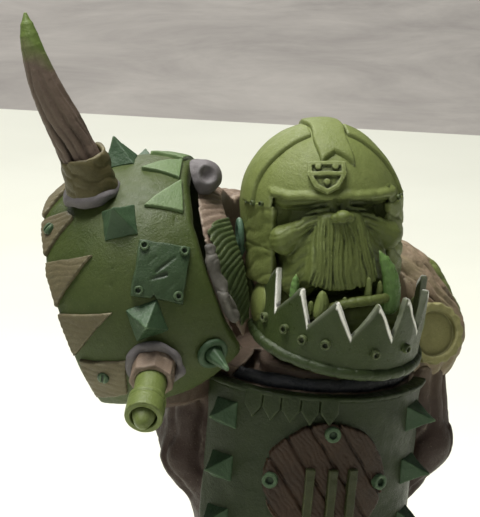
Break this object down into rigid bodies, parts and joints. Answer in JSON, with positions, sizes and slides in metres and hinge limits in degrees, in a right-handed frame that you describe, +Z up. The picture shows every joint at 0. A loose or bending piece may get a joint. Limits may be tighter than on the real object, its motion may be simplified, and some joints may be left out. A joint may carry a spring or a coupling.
{
  "type": "tabletop miniature bust",
  "caption": "Armoured brute bust sculpted in modelling putty, with helmet, toothed jaw guard, spiked shoulder shell, horn and round-badged breastplate on a turned plinth.",
  "frame": {"origin": "centre of the plinth's underside", "axes": "+Z up along the wire that the bust turns on; the figure faces -Y, its left arm side is +X"},
  "size_m": [0.0589, 0.0451, 0.0911],
  "materials": {
    "plinth_wood": "waxed turned hardwood",
    "steel_wire": "drawn wire",
    "brown_putty": "cured modelling putty, tooled",
    "olive_putty": "cured modelling putty, smoothed",
    "skin_putty": "cured modelling putty, tooled",
    "green_putty": "cured green putty, cut to shape",
    "pale_putty": "cured modelling putty, pale mix",
    "dark_putty": "cured modelling putty, dark mix",
    "sheet_plastic": "sheet plastic with putty skin, white at cut edges",
    "plaque_putty": "cured brown putty with plank grooves",
    "horn_putty": "cured putty with lengthwise grooves",
    "grey_tack": "soft reusable tack"
  },
  "bodies": {
    "plinth": {"plinth": "plinth_wood", "turn_pin": "steel_wire"},
    "torso": {"torso_core": "brown_putty", "back_muscles": "brown_putty", "flank_muscles": "brown_putty", "left_deltoid": "brown_putty", "deltoid_patch": "skin_putty", "arm_seat": "pale_putty", "shoulder_stump": "brown_putty", "neck_collar": "dark_putty", "neck_guard": "olive_putty", "breastplate": "olive_putty", "breastplate_rim": "green_putty", "plate_fringe": "green_putty", "plate_spikes_right": "green_putty", "plate_spikes_left": "green_putty", "plaque": "plaque_putty", "plaque_rivets": "green_putty", "plaque_bars": "olive_putty", "neck_pin": "steel_wire", "shoulder_pin": "steel_wire", "tack_ball": "grey_tack", "tack_roll": "grey_tack"},
    "head": {"head_core": "skin_putty", "face": "skin_putty", "lower_jaw": "skin_putty", "tusks": "green_putty", "teeth": "pale_putty", "helmet_shell": "olive_putty", "crest_band": "olive_putty", "ear_band": "olive_putty", "brow_badge": "olive_putty", "cheek_guards": "olive_putty", "helmet_rivets": "olive_putty", "strap_loop": "green_putty", "guard_bosses": "olive_putty", "jaw_guard": "sheet_plastic", "jaw_guard_rim": "dark_putty", "jaw_guard_rivets": "sheet_plastic"},
    "shoulder": {"shoulder_shell": "olive_putty", "shell_hub": "brown_putty", "outer_trim": "brown_putty", "inner_trim": "green_putty", "trim_screws": "green_putty", "shell_spikes": "green_putty", "patch_plate": "green_putty", "patch_rivets": "green_putty", "barrel_tack": "grey_tack", "barrel_cuff": "pale_putty", "barrel_tube": "olive_putty", "barrel_round": "olive_putty", "thorn_ring": "green_putty", "thorn": "green_putty", "horn_tack": "grey_tack"},
    "horn": {"horn_collar": "pale_putty", "horn": "horn_putty", "horn_peg": "steel_wire"}
  },
  "joints": [
    {"name": "bust_turn", "type": "hinge", "parent": "plinth", "child": "torso", "pos_m": [0, 0, 0.017], "axis": [0, 0, 1], "continuous": true},
    {"name": "head_turn", "type": "hinge", "parent": "torso", "child": "head", "pos_m": [0.0005, -0.0035, 0.045], "axis": [0, 0, 1], "range_deg": [-6, 6]},
    {"name": "shell_swing", "type": "hinge", "parent": "torso", "child": "shoulder", "pos_m": [-0.02, 0.002, 0.0535], "axis": [0.8885, -0.3059, 0.342], "range_deg": [-8, 8]},
    {"name": "horn_turn", "type": "hinge", "parent": "shoulder", "child": "horn", "pos_m": [-0.02819, -0.00333, 0.06741], "axis": [-0.2421, -0.0827, 0.9667], "continuous": true}
  ]
}
